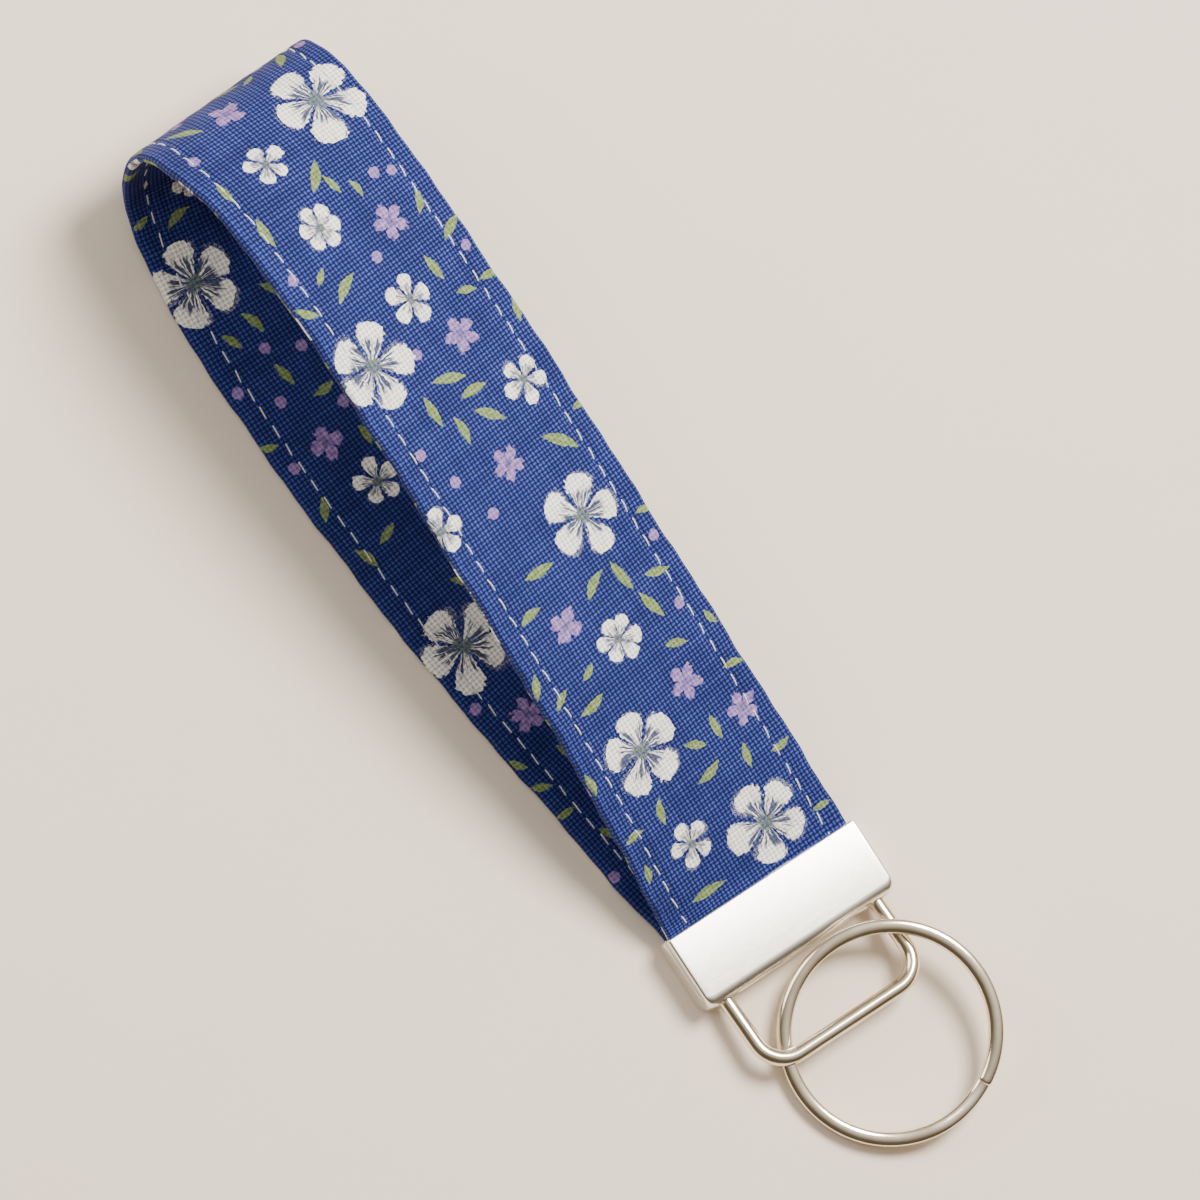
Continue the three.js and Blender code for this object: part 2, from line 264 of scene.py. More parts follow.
def cover_section():
    """The section's points as (share of half width, face, turn), turn being 0 on the faces."""
    flat = np.linspace(-1, 1, FACE_COLUMNS + 1)
    turns = np.arange(1, EDGE_COLUMNS) / EDGE_COLUMNS * np.pi
    points = [(share, 1, 0.0) for share in flat]
    points += [(1.0, math.copysign(1, math.cos(t) + 1e-9), t) for t in turns]
    points += [(share, -1, 0.0) for share in -flat]
    points += [(-1.0, -math.copysign(1, math.cos(t) + 1e-9), t) for t in turns]
    return points


FACE_COLUMNS = 64
EDGE_COLUMNS = 9
COVER_STEP = 0.6


def cover_points():
    """Rings of cover points, with each point's place on the cloth: across and face."""
    s = np.linspace(0, STRAP_LENGTH, int(STRAP_LENGTH / COVER_STEP))
    columns, across, faces = [], [], []
    for share, face, turn in cover_section():
        side = math.copysign(1, share) if share else 1.0
        flat_half = cover_half_width(s, side) - EDGE_REACH
        x = share * flat_half
        top = face_height(side * flat_half, s, 1)
        low = face_height(side * flat_half, s, -1)
        if turn:
            swing = turn if side > 0 else np.pi - turn
            bulge = abs(math.sin(swing)) ** 0.75
            lift = math.copysign(abs(math.cos(swing)) ** 0.75, math.cos(swing))
            x = x + side * EDGE_REACH * bulge
            height = lift * (top if lift > 0 else low)
            reach = min(swing, np.pi - swing) * EDGE_REACH
        else:
            height = face * face_height(x, s, face)
            reach = 0.0
        columns.append(on_strap(s, x, height))
        across.append(share * (STRAP_HALF - EDGE_REACH) + side * reach)
        faces.append(face)
    return s, np.stack(columns, 1), np.array(across), np.array(faces)


# ------------------------------------------------------------------ the print


# Where the print's motifs lie on the visible cloth, in millimetres: across the strap and along
# it from the clamp's middle. A leaf also has its turn in degrees and its half length.
FRONT_PRINT = {
    "large": [(8.6, 134.4), (-10.1, 99), (5.9, 63.8), (-5.8, 31.9), (5.4, 12.5)],
    "small": [
        (-4.7, 130.4), (-4.4, 119.1), (1.2, 103.4), (9.7, 84.4), (-15.1, 74.4), (0.4, 46.5),
        (-6.2, 16.6),
    ],
    "pink": [
        (-2.7, 139.4), (5.9, 114.1), (5.1, 95), (0, 76.2), (-5.8, 52.8), (5.9, 35.6),
        (11.4, 27.5),
    ],
    "dot": [
        (8.4, 121.2), (11.1, 120), (0.6, 111), (-3, 96.5), (-11.6, 84.8), (-8.9, 78.8),
        (-6.3, 71.9), (-12.2, 136.2), (-13, 115.2), (14.1, 104.8), (14.2, 55), (11.8, 45),
    ],
    "leaf": [
        (0.1, 125.4, 48, 2.6), (1.6, 123.1, 104, 1.6), (4.5, 120.8, 99, 1.4),
        (11.8, 114.1, 59, 1.9), (7.5, 105, 99, 2.2), (10, 99.6, 158, 1.6),
        (-6.7, 110.1, 27, 2.6), (-9, 113.3, 38, 1.3), (-0.6, 91, 158, 2.7),
        (-5.9, 88.6, 90, 2.4), (1.7, 87.6, 175, 2.4), (-3.4, 84, 90, 2.3),
        (1.9, 83.4, 134, 2.6), (9.4, 74.2, 133, 3.2), (15.1, 92.9, 74, 1.7),
        (14.7, 99.3, 164, 1.6), (13.7, 108.3, 26, 2.4), (-14.4, 110.3, 137, 1.8),
        (15.4, 76.5, 167, 1.3), (-5, 61.3, 175, 2.7), (1.5, 54.8, 28, 2.5),
        (6.1, 53.4, 98, 2.8), (7.7, 47.4, 107, 2.6), (11.3, 50.6, 161, 2),
        (-9.9, 57.1, 7, 2), (-6.6, 45.6, 25, 1.4), (7.7, 40.8, 155, 1.8),
        (14.6, 40.6, 109, 1.3), (14, 33.3, 163, 1.6), (-8.9, 41.5, 7, 2.4),
        (-12.6, 44.9, 31, 1.6), (-14.9, 48.6, 67, 1.8), (6.2, 27.8, 87, 2),
        (2, 27.6, 146, 1.8), (8.1, 21.8, 78, 1.9), (1.7, 23.2, 13, 2.3), (13.3, 20, 3, 1.6),
        (-7.8, 23.1, 72, 2), (-7.3, 9.6, 175, 3), (-13.4, 22.6, 5, 1.6), (-14.3, 17, 80, 1.4),
        (13.9, 9.5, 178, 1.3), (-15.3, 32.6, 88, 1.7), (14.9, 58.8, 157, 1.3),
        (-9.3, 140.2, 143, 2.6), (0.9, 142.2, 159, 2.2), (4.3, 141.8, 34, 1.2),
        (-12.9, 130, 90, 1.8), (-12, 122.7, 86, 2.2),
    ],
}
BACK_PRINT = {
    "large": [(-11, 122.2), (-9.9, 58.8)],
    "small": [(-4.7, 84.8), (-5.5, 136)],
    "pink": [(-7.5, 93.4), (-9.1, 45.6), (2, 103), (3, 70)],
    "dot": [
        (-2.2, 106.9), (-7, 109.4), (-14.1, 106.2), (-9.7, 101.9), (-13.6, 93.1),
        (-1.8, 96.9), (-14.4, 51), (-15, 19.8),
    ],
    "leaf": [
        (-9, 131.4, 23, 2.1), (-1.7, 127.9, 118, 1.8), (-6.4, 113.4, 111, 2),
        (-1.4, 116, 126, 1.9), (-14.6, 132.7, 23, 1.4), (-6.8, 104.9, 101, 2),
        (-3.1, 100, 4, 1.7), (-2, 91.2, 90, 1.6), (-10.6, 112.6, 120, 1.6),
        (-15, 97.6, 156, 1.4), (-14.8, 36.6, 148, 1.6), (-14.6, 31.4, 174, 1.5),
        (-11.6, 25.1, 114, 1.5), (-15, 41.2, 119, 1.3), (-8.5, 38.2, 102, 1.3),
        (-13, 77, 110, 2), (-8.4, 78, 20, 1.8), (-13.6, 86, 60, 1.8), (-3.6, 66, 140, 2),
    ],
}
MOTIF_SIZES = {
    "large": (7.0, 7.0), "small": (3.9, 3.9), "pink": (3.0, 3.0), "leaf": (2.2, 0.78),
    "dot": (1.0, 1.0),
}
MOTIF_ROOM = {"large": 7.2, "small": 4.0, "pink": 3.0, "leaf": 2.2, "dot": 1.3}
MOTIF_COUNTS = {"large": 9, "small": 15, "pink": 15, "leaf": 95, "dot": 26}
# The place in a motif's own units of a corner that no motif is near.
NOWHERE = 9.0


def scatter_print(placed, rng, hidden_from, hidden_to):
    """Fills the rest of one face of the cloth, between two lengths along it, at random."""
    taken = [(x, s, MOTIF_ROOM[key]) for key, rows in placed.items() for x, s, *_ in rows]
    made = {key: list(rows) for key, rows in placed.items()}
    for key, count in MOTIF_COUNTS.items():
        left = count
        for _ in range(count * 30):
            if not left:
                break
            x = rng.uniform(-STRAP_HALF, STRAP_HALF)
            s = rng.uniform(hidden_from, hidden_to)
            if min(math.hypot(x - a, s - b) - MOTIF_ROOM[key] - r for a, b, r in taken) > 0:
                made[key].append((x, s))
                taken.append((x, s, MOTIF_ROOM[key]))
                left -= 1
    return made


def place_print():
    """Both faces' motifs as rows of place, half length, half width, turn and a random number."""
    rng = np.random.default_rng(SEED)
    tip = strap_at_y(140, False)
    front = {
        key: [(x, strap_at_y(y, False), *rest) for x, y, *rest in rows]
        for key, rows in FRONT_PRINT.items()
    }
    back = {
        key: [(x, strap_at_y(y, True), *((180 - rest[0], rest[1]) if rest else ()))
              for x, y, *rest in rows]
        for key, rows in BACK_PRINT.items()
    }
    faces = {
        1: scatter_print(front, rng, tip + 4, STRAP_LENGTH),
        -1: scatter_print(back, rng, 0, strap_at_y(139, True)),
    }
    result = {}
    for face, motifs in faces.items():
        result[face] = {}
        for key, rows in motifs.items():
            length, width = MOTIF_SIZES[key]
            made = []
            for x, s, *rest in rows:
                turn, half = rest if rest else (rng.uniform(0, 360), length)
                grow = 1.0 if rest else rng.uniform(0.94, 1.06)
                slim = width * (half / length) ** 0.5 if key == "leaf" else width
                made.append((
                    x, s, (half + 0.25) * grow if key == "leaf" else half * grow,
                    slim * grow, math.radians(turn), rng.uniform(0, 1),
                ))
            result[face][key] = np.array(made)
    return result


def print_corners(motifs, place, face):
    """Each corner's place in the nearest motif of its quad, in units of the motif's size."""
    centre = place.mean(1)
    values = np.full(place.shape[:2] + (3,), NOWHERE)
    for side in (1, -1):
        rows = np.flatnonzero(face == side)
        best = np.full(len(rows), np.inf)
        for x, s, length, width, turn, spin in motifs[side]:
            axes = np.array([[math.cos(turn), -math.sin(turn)], [math.sin(turn), math.cos(turn)]])
            scale = np.array([length, width])
            gap = (((centre[rows] - (x, s)) @ axes) / scale)
            measure = (gap ** 2).sum(-1)
            nearer = measure < best
            best = np.where(nearer, measure, best)
            local = ((place[rows[nearer]] - (x, s)) @ axes) / scale
            values[rows[nearer], :, :2] = local
            values[rows[nearer], :, 2] = spin
    return values


def build_cover():
    """The sewn tube of cloth, with each face corner's place on the cloth and in its motifs."""
    s, rings, across, faces = cover_points()
    rows, cols = rings.shape[:2]
    quads, caps = tube_faces(rows, cols)
    around = np.concatenate([[0], np.cumsum(np.linalg.norm(np.diff(
        np.vstack([rings[0], rings[0][:1]]), axis=0), axis=1))])
    cloth = tube_corners(around, s)
    row, col = np.meshgrid(np.arange(rows - 1), np.arange(cols), indexing="ij")
    row, col = row.ravel(), col.ravel()
    ahead = (col + 1) % cols
    place = np.stack([
        np.stack([across[c], s[r]], -1)
        for r, c in ((row, col), (row, ahead), (row + 1, ahead), (row + 1, col))
    ], 1)
    face = faces[col]
    corners = {"cloth": cloth}
    motifs = place_print()
    for key in ("large", "small", "pink", "leaf", "dot"):
        values = print_corners({f: motifs[f][key] for f in motifs}, place, face)
        blank = np.full((2 * cols, 3), NOWHERE)
        corners[key] = np.concatenate([values.reshape(-1, 3), blank])
    return build_mesh("printed_cover", rings.reshape(-1, 3), quads + caps, corners)


# ------------------------------------------------------------------ stitches


def build_stitches(name, side, face):
    """One seam's visible stitches, each a short arched length of thread dipping into the cloth."""
    rng = np.random.default_rng(SEED + 7 * side + face)
    sections, steps = 8, 11
    t = np.linspace(0, 1, steps)
    rise = np.clip(np.sin(np.pi * t), 0, None) ** 0.45
    taper = np.clip(1.25 * np.sin(np.pi * np.clip(t, 0.06, 0.94)) ** 0.35, 0, 1)
    angle = np.arange(sections) * 2 * np.pi / sections
    points, quads, caps, marks_quads, marks_caps = [], [], [], [], []
    start = strap_at_y(LIP_Y, False) - 2.0
    end = strap_at_y(LIP_Y, True) + 2.0
    for i in range(int((end - start) / STITCH_PITCH)):
        s0 = start + (i + 0.5 * (face < 0)) * STITCH_PITCH + rng.uniform(-0.12, 0.12)
        length = STITCH_LENGTH * rng.uniform(0.92, 1.08)
        lean = side * rng.uniform(0.02, 0.16)
        s = s0 + length * t
        x = side * SEAM_X + lean * (t - 0.5) * 2 + rng.uniform(-0.05, 0.05)
        bed = face_height(np.full(steps, side * SEAM_X), s, face)
        middle = face * (bed - 0.2 + (0.2 + 0.75 * STITCH_RADIUS) * rise)
        radius = STITCH_RADIUS * taper
        rings = [
            on_strap(s, x + radius * math.cos(a) * 1.1, middle + face * radius * math.sin(a))
            for a in angle
        ]
        rings = np.stack(rings, 1)
        if face < 0:
            rings = rings[:, ::-1]
        made, ends = tube_faces(steps, sections, len(points) * steps * sections)
        marks = tube_corners(np.linspace(0, 1, sections + 1), s)
        points.append(rings.reshape(-1, 3))
        quads += made
        caps += ends
        marks_quads.append(marks[:-2 * sections])
        marks_caps.append(marks[-2 * sections:])
    corners = {"twist": np.concatenate(marks_quads + marks_caps)}
    return build_mesh(name, np.concatenate(points), quads + caps, corners)


# ------------------------------------------------------------------ metal


def rounded_profile(low, high, radii, steps=9):
    """A rectangle in two coordinates with its own radius at each corner, anticlockwise from
    the low, low corner."""
    (x0, y0), (x1, y1) = low, high
    corners = [(x0, y0, 1, 1, 180), (x1, y0, -1, 1, 270), (x1, y1, -1, -1, 0), (x0, y1, 1, -1, 90)]
    points = []
    for (x, y, sx, sy, first), radius in zip(corners, radii):
        for angle in np.radians(first + np.linspace(0, 90, steps + 1)):
            points.append((
                x + radius * (sx + math.cos(angle)),
                y + radius * (sy + math.sin(angle)),
            ))
    return np.array(points)


def inset(gap, radius):
    """How far a face steps in at a gap from an end that is rounded by radius."""
    return radius - math.sqrt(max(radius ** 2 - max(radius - gap, 0) ** 2, 0))


def clamp_body():
    """The clamp's outer form: a flat tube that is rounded at the fold and at both ends."""
    gaps = [CLAMP_PLAN_RADIUS * (1 - math.cos(a)) for a in np.linspace(0, np.pi / 2, 12)]
    gaps += [CLAMP_EDGE_RADIUS * (1 - math.cos(a)) for a in np.linspace(0.3, np.pi / 2, 6)]
    gaps = sorted({round(gap, 5) for gap in gaps})
    stations = [-CLAMP_HALF_WIDTH + gap for gap in gaps]
    stations += [CLAMP_HALF_WIDTH - gap for gap in reversed(gaps)]
    rings = []
    for x in stations:
        gap = CLAMP_HALF_WIDTH - abs(x)
        face, fold = inset(gap, CLAMP_EDGE_RADIUS), inset(gap, CLAMP_PLAN_RADIUS)
        low = (-CLAMP_HALF_LENGTH + fold, face)
        high = (CLAMP_HALF_LENGTH - face, CLAMP_THICK - face)
        radii = [max(radius - face, 0.08) for radius in (
            CLAMP_FOLD_RADIUS, CLAMP_LIP_RADIUS, CLAMP_LIP_RADIUS, CLAMP_FOLD_RADIUS,
        )]
        profile = rounded_profile(low, high, radii)
        rings.append(np.column_stack([np.full(len(profile), x), profile]))
    rings = np.array(rings)
    quads, caps = tube_faces(*rings.shape[:2])
    return build_mesh("clamp", rings.reshape(-1, 3), quads + caps)


def block(name, low, high):
    """A box between two corners, used only to cut the clamp."""
    x, y, z = (np.array(pair, float) for pair in zip(low, high))
    points = [(a, b, c) for a in x for b in y for c in z]
    faces = [(0, 1, 3, 2), (4, 6, 7, 5), (0, 4, 5, 1), (2, 3, 7, 6), (0, 2, 6, 4), (1, 5, 7, 3)]
    return build_mesh(name, points, faces, smooth=False)


def apply_modifiers(piece):
    graph = bpy.context.evaluated_depsgraph_get()
    mesh = bpy.data.meshes.new_from_object(piece.evaluated_get(graph))
    piece.modifiers.clear()
    piece.data = mesh


def cut(piece, tools):
    for tool in tools:
        modifier = piece.modifiers.new("cut", "BOOLEAN")
        modifier.operation = "DIFFERENCE"
        modifier.solver = "EXACT"
        modifier.object = tool
    apply_modifiers(piece)
    for tool in tools:
        bpy.data.objects.remove(tool)


def build_clamp():
    clamp = clamp_body()
    wall = CLAMP_HALF_WIDTH - CLAMP_SIDE_WALL
    fold, lip = -CLAMP_HALF_LENGTH, CLAMP_HALF_LENGTH
    inner = rounded_profile(
        (fold + CLAMP_PLATE, CLAMP_PLATE), (lip + 2, CLAMP_THICK - CLAMP_PLATE),
        (1.0, 0.1, 0.1, 1.0),
    )
    rings = np.array([
        np.column_stack([np.full(len(inner), x), inner]) for x in (-wall, wall)
    ])
    quads, caps = tube_faces(*rings.shape[:2])
    tools = [build_mesh("pocket", rings.reshape(-1, 3), quads + caps, smooth=False)]
    for side in (-1, 1):
        for label, (depth, low, high) in END_LINES.items():
            x = sorted((side * (CLAMP_HALF_WIDTH - depth), side * (CLAMP_HALF_WIDTH + 1)))
            tools.append(block(label, (x[0], fold + 1.8, low), (x[1], lip + 1, high)))
        x = sorted((side * LEG_SLOT["inner"], side * LEG_SLOT["outer"]))
        low, high = (x[0], fold - 1, LEG_SLOT["low"]), (x[1], fold + 1, LEG_SLOT["high"])
        tools.append(block("slot", low, high))
    cut(clamp, tools)
    edge = clamp.modifiers.new("edge", "BEVEL")
    edge.width = 0.11 * MM
    edge.segments = 2
    edge.limit_method = "ANGLE"
    edge.angle_limit = math.radians(42)
    apply_modifiers(clamp)
    clamp.data.shade_smooth()
    clamp.data.set_sharp_from_angle(angle=math.radians(38))
    return clamp


def loop_path():
    """The wire loop's middle line in its own plane, from one side of the butt joint round."""
    side, far = LOOP_HALF_WIDTH, -LOOP_LENGTH
    path = [(BUTT_HALF_GAP, 0.0)]
    for x, y, radius, first in (
        (side, 0, LOOP_INNER_CORNER, 90), (side, far, LOOP_CORNER, 0),
        (-side, far, LOOP_CORNER, -90), (-side, 0, LOOP_INNER_CORNER, -180),
    ):
        cx, cy = x - math.copysign(radius, x), y + (radius if y < 0 else -radius)
        for angle in np.radians(first - np.linspace(0, 90, 19)):
            path.append((cx + radius * math.cos(angle), cy + radius * math.sin(angle)))
    path.append((-BUTT_HALF_GAP, 0.0))
    return np.array(path)


def resample(path, step):
    """Points evenly spread along a path, and how far along it each one is."""
    at = np.concatenate([[0], np.cumsum(np.linalg.norm(np.diff(path, axis=0), axis=1))])
    s = np.linspace(0, at[-1], int(at[-1] / step))
    return np.stack([np.interp(s, at, path[:, k]) for k in range(path.shape[1])], -1), s


def build_wire_loop():
    """The bent round wire, its two ends eased in where they butt inside the clamp."""
    path, s = resample(loop_path(), WIRE_STEP)
    ahead = unit(np.gradient(path, axis=0))
    side = np.stack([ahead[:, 1], -ahead[:, 0]], -1)
    angle = np.arange(WIRE_SIDES) * 2 * np.pi / WIRE_SIDES
    ease = np.minimum(1, np.minimum(s, s[-1] - s) / 0.4 * 0.25 + 0.75)
    radius = WIRE_RADIUS * ease
    flat = path[:, None] + side[:, None] * (radius[:, None] * np.cos(angle))[..., None]
    y, z = flat[..., 1], radius[:, None] * np.sin(angle)
    c, k = math.cos(LOOP_TILT), math.sin(LOOP_TILT)
    rings = np.stack([flat[..., 0], y * c + z * k, z * c - y * k], -1) + LOOP_PIVOT
    quads, caps = tube_faces(*rings.shape[:2])
    corners = {"wire": tube_corners(np.linspace(0, 1, WIRE_SIDES + 1), s)}
    return build_mesh("loop_wire", rings.reshape(-1, 3), quads + caps, corners)


def build_split_ring():
    """Two coils of oval wire, joined by a short slope where the coil changes level."""
    sweep = 720 - RING_JOG
    turned = np.arange(0, sweep + 0.1, RING_STEP)
    fall = np.clip((turned - (360 - RING_JOG)) / RING_JOG, 0, 1)
    fall = fall * fall * (3 - 2 * fall)
    angle = np.radians(RING_JOG_AT + RING_JOG / 2 + turned)
    section = ellipse(WIRE_SIDES, RING_HALF_RADIAL, RING_HALF_AXIAL)
    s = np.radians(turned) * RING_RADIUS
    ease = np.minimum(1, 0.8 + np.minimum(s, s[-1] - s) * 0.5)
    radius = RING_RADIUS + ease[:, None] * section[:, 0]
    z = (RING_PITCH * (0.5 - fall))[:, None] + ease[:, None] * section[:, 1]
    local = np.stack([radius * np.cos(angle)[:, None], radius * np.sin(angle)[:, None], z], -1)
    normal = Vector((-RING_SLOPE[0], -RING_SLOPE[1], 1)).normalized()
    turn = np.array(Vector((0, 0, 1)).rotation_difference(normal).to_matrix())
    rings = (local @ turn.T + RING_CENTRE)[:, ::-1]
    quads, caps = tube_faces(*rings.shape[:2])
    corners = {"wire": tube_corners(np.linspace(0, 1, WIRE_SIDES + 1), s)}
    return build_mesh("ring_coils", rings.reshape(-1, 3), quads + caps, corners)


# ------------------------------------------------------------------ materials


class Nodes:
    """Builds shader nodes from calls. A value is a number or another node's output."""

    def __init__(self, name):
        self.material = bpy.data.materials.new(name)
        self.material.use_nodes = True
        self.tree = self.material.node_tree
        self.shader = self.tree.nodes["Principled BSDF"]

    def plug(self, socket, value):
        if isinstance(value, bpy.types.NodeSocket):
            self.tree.links.new(value, socket)
        else:
            socket.default_value = value

    def node(self, kind, inputs=(), **settings):
        node = self.tree.nodes.new(kind)
        for key, value in settings.items():
            setattr(node, key, value)
        for key, value in dict(inputs).items():
            self.plug(node.inputs[key], value)
        return node

    def math(self, operation, *values):
        node = self.node("ShaderNodeMath", operation=operation)
        for socket, value in zip(node.inputs, values):
            self.plug(socket, value)
        return node.outputs[0]

    def add(self, a, b):
        return self.math("ADD", a, b)

    def sub(self, a, b):
        return self.math("SUBTRACT", a, b)

    def mul(self, a, b):
        return self.math("MULTIPLY", a, b)

    def ramp(self, value, low, high, to_low=0.0, to_high=1.0):
        """A smooth step of value from low to high."""
        node = self.node("ShaderNodeMapRange", interpolation_type="SMOOTHSTEP")
        for key, number in (
            ("Value", value), ("From Min", low), ("From Max", high),
            ("To Min", to_low), ("To Max", to_high),
        ):
            self.plug(node.inputs[key], number)
        return node.outputs["Result"]

    def mix(self, share, a, b):
        node = self.node("ShaderNodeMix", data_type="RGBA")
        self.plug(node.inputs[0], share)
        self.plug(node.inputs[6], a)
        self.plug(node.inputs[7], b)
        return node.outputs[2]

    def shade(self, colour, factor):
        node = self.node("ShaderNodeVectorMath", operation="SCALE")
        self.plug(node.inputs[0], colour)
        self.plug(node.inputs["Scale"], factor)
        return node.outputs[0]

    def noise(self, place, scale, detail=2.0):
        node = self.node("ShaderNodeTexNoise", {"Scale": scale, "Detail": detail})
        self.plug(node.inputs["Vector"], place)
        return node.outputs["Fac"]

    def point(self, x=0.0, y=0.0, z=0.0):
        node = self.node("ShaderNodeCombineXYZ")
        for socket, value in zip(node.inputs, (x, y, z)):
            self.plug(socket, value)
        return node.outputs[0]

    def attribute(self, name):
        vector = self.node("ShaderNodeAttribute", attribute_name=name).outputs["Vector"]
        parts = self.node("ShaderNodeSeparateXYZ", {"Vector": vector})
        return vector, parts.outputs[0], parts.outputs[1], parts.outputs[2]

    def random(self, a, b):
        node = self.node("ShaderNodeTexWhiteNoise", noise_dimensions="2D")
        self.plug(node.inputs["Vector"], self.point(a, b))
        parts = self.node("ShaderNodeSeparateColor", {"Color": node.outputs["Color"]})
        return parts.outputs[0], parts.outputs[1], parts.outputs[2]

    def bump(self, height, distance, strength=1.0, under=None):
        node = self.node("ShaderNodeBump", {"Strength": strength, "Distance": distance})
        self.plug(node.inputs["Height"], height)
        if under is not None:
            self.plug(node.inputs["Normal"], under)
        return node.outputs["Normal"]

    def finish(self, **sockets):
        for key, value in sockets.items():
            self.plug(self.shader.inputs[key.replace("_", " ")], value)
        return self.material


INK_BLUE = (0.028, 0.046, 0.27, 1)
INK_DEEP = (0.021, 0.036, 0.22, 1)
INK_WHITE = (0.95, 0.92, 0.84, 1)
INK_GREY = (0.30, 0.34, 0.42, 1)
INK_VEIN = (0.026, 0.042, 0.12, 1)
INK_HEART = (0.036, 0.06, 0.17, 1)
INK_GREEN = (0.17, 0.23, 0.07, 1)
INK_GREEN_PALE = (0.24, 0.315, 0.145, 1)
INK_LILAC = (0.22, 0.13, 0.36, 1)
INK_LILAC_PALE = (0.36, 0.235, 0.49, 1)
YARN_PALE = (0.048, 0.075, 0.36, 1)
THREAD_CREAM = (0.74, 0.71, 0.62, 1)
THREAD_WHITE = (0.86, 0.84, 0.78, 1)
WEBBING_DARK = (0.60, 0.54, 0.43, 1)
WEBBING_PALE = (0.80, 0.75, 0.65, 1)
FLOOR_DARK = (0.77, 0.66, 0.54, 1)
FLOOR_PALE = (0.795, 0.685, 0.563, 1)
COTTON_PITCH = 0.66
WEBBING_PITCH = 1.1


def flower(g, cloth, name, petals, width, veins):
    """A flower's cover and colour. Its petals are wider at the tip and painted by hand."""
    _, x, y, spin = g.attribute(name)
    paint = g.sub(g.noise(cloth, 0.9, 1.0), 0.5)
    x = g.add(x, g.mul(paint, 0.10))
    radius = g.math("SQRT", g.add(g.mul(x, x), g.mul(y, y)))
    angle = g.math("ARCTAN2", y, x)
    count = g.add(petals, g.math("ROUND", spin)) if veins == "few" else petals
    turn = g.add(g.mul(g.math("DIVIDE", angle, 2 * math.pi), count), 0.5)
    index = g.math("FLOOR", turn)
    wrapped = g.math("MODULO", g.add(index, 60), count)
    first, second, third = g.random(wrapped, g.mul(spin, 40))
    offset = g.add(g.sub(g.sub(turn, index), 0.5), g.mul(g.sub(first, 0.5), 0.16))
    swing = g.mul(g.math("DIVIDE", offset, count), 2 * math.pi)
    length = g.add(0.84, g.mul(second, 0.16))
    along = g.math("DIVIDE", g.mul(radius, g.math("COSINE", swing)), length)
    aside = g.math("ABSOLUTE", g.mul(radius, g.math("SINE", swing)))
    inside = g.math("MAXIMUM", g.sub(1, g.math("POWER", along, 3.6)), 0)
    span = g.mul(g.mul(along, g.math("SQRT", inside)), g.add(width, g.mul(third, 0.09)))
    ragged = g.mul(g.sub(g.noise(cloth, 1.7, 2.0), 0.5), 0.21)
    edge = g.add(g.sub(span, aside), g.mul(ragged, g.add(0.4, along)))
    petal = g.mul(g.ramp(edge, 0.0, 0.03), g.ramp(along, 1.02, 1.06, 1.0, 0.0))
    streaks = g.noise(g.point(g.mul(swing, 7.0), g.mul(radius, 0.8), index), 1.6, 2.0)
    shaded = g.mix(g.ramp(streaks, 0.50, 0.74, 0.0, 0.48), INK_WHITE, INK_GREY)
    reach = g.add(0.36, g.mul(g.noise(g.point(g.mul(angle, 2.2), spin, 0.0), 2.4, 1.0), 0.5))
    fine = g.noise(g.point(g.mul(angle, 6.5), g.mul(radius, 0.6), spin), 1.9, 1.0)
    vein = g.mul(g.ramp(fine, 0.44, 0.50), g.ramp(radius, g.sub(reach, 0.14), reach, 1.0, 0.0))
    vein = g.mul(vein, 0.95 if veins == "many" else 0.75)
    colour = g.mix(vein, shaded, INK_VEIN)
    heart = g.ramp(g.add(radius, g.mul(paint, 0.3)), 0.12, 0.24, 1.0, 0.0)
    colour = g.mix(g.mul(heart, 0.85), colour, INK_HEART)
    speck = g.mul(heart, g.ramp(g.noise(cloth, 2.6, 1.0), 0.50, 0.56))
    colour = g.mix(g.mul(speck, 0.8), colour, INK_GREEN)
    return g.math("MAXIMUM", petal, heart), colour


def blossom(g, cloth):
    """A small lilac blossom of four or five soft blobs."""
    _, x, y, spin = g.attribute("pink")
    radius = g.math("SQRT", g.add(g.mul(x, x), g.mul(y, y)))
    angle = g.math("ARCTAN2", y, x)
    half_turns = g.mul(angle, g.add(2, g.mul(g.math("ROUND", spin), 0.5)))
    lobes = g.math("POWER", g.math("ABSOLUTE", g.math("COSINE", half_turns)), 0.6)
    outline = g.add(0.32, g.mul(lobes, 0.60))
    rough = g.mul(g.sub(g.noise(cloth, 1.1, 2.0), 0.5), 0.7)
    cover = g.ramp(g.add(g.sub(outline, radius), rough), 0.0, 0.09)
    tone = g.noise(cloth, 1.3, 2.0)
    colour = g.mix(g.ramp(tone, 0.35, 0.65), INK_LILAC, INK_LILAC_PALE)
    heart = g.ramp(g.add(radius, rough), 0.12, 0.3, 0.55, 0.0)
    return cover, g.mix(heart, colour, INK_HEART)


def leaf(g, cloth):
    """A pointed leaf, a little bent along its length."""
    _, x, y, spin = g.attribute("leaf")
    bend = g.mul(g.mul(g.sub(spin, 0.5), 1.3), g.sub(g.mul(x, x), 0.4))
    rough = g.mul(g.sub(g.noise(cloth, 1.7, 2.0), 0.5), 0.7)
    span = g.math("MAXIMUM", g.sub(1, g.math("POWER", g.math("ABSOLUTE", x), 1.7)), -1)
    edge = g.sub(span, g.math("ABSOLUTE", g.add(y, bend)))
    cover = g.ramp(g.add(edge, rough), 0.0, 0.14)
    tone = g.noise(g.point(g.mul(x, 2.0), g.mul(y, 1.5), g.mul(spin, 50)), 1.5, 1.0)
    return cover, g.mix(g.ramp(tone, 0.4, 0.62), INK_GREEN, INK_GREEN_PALE)


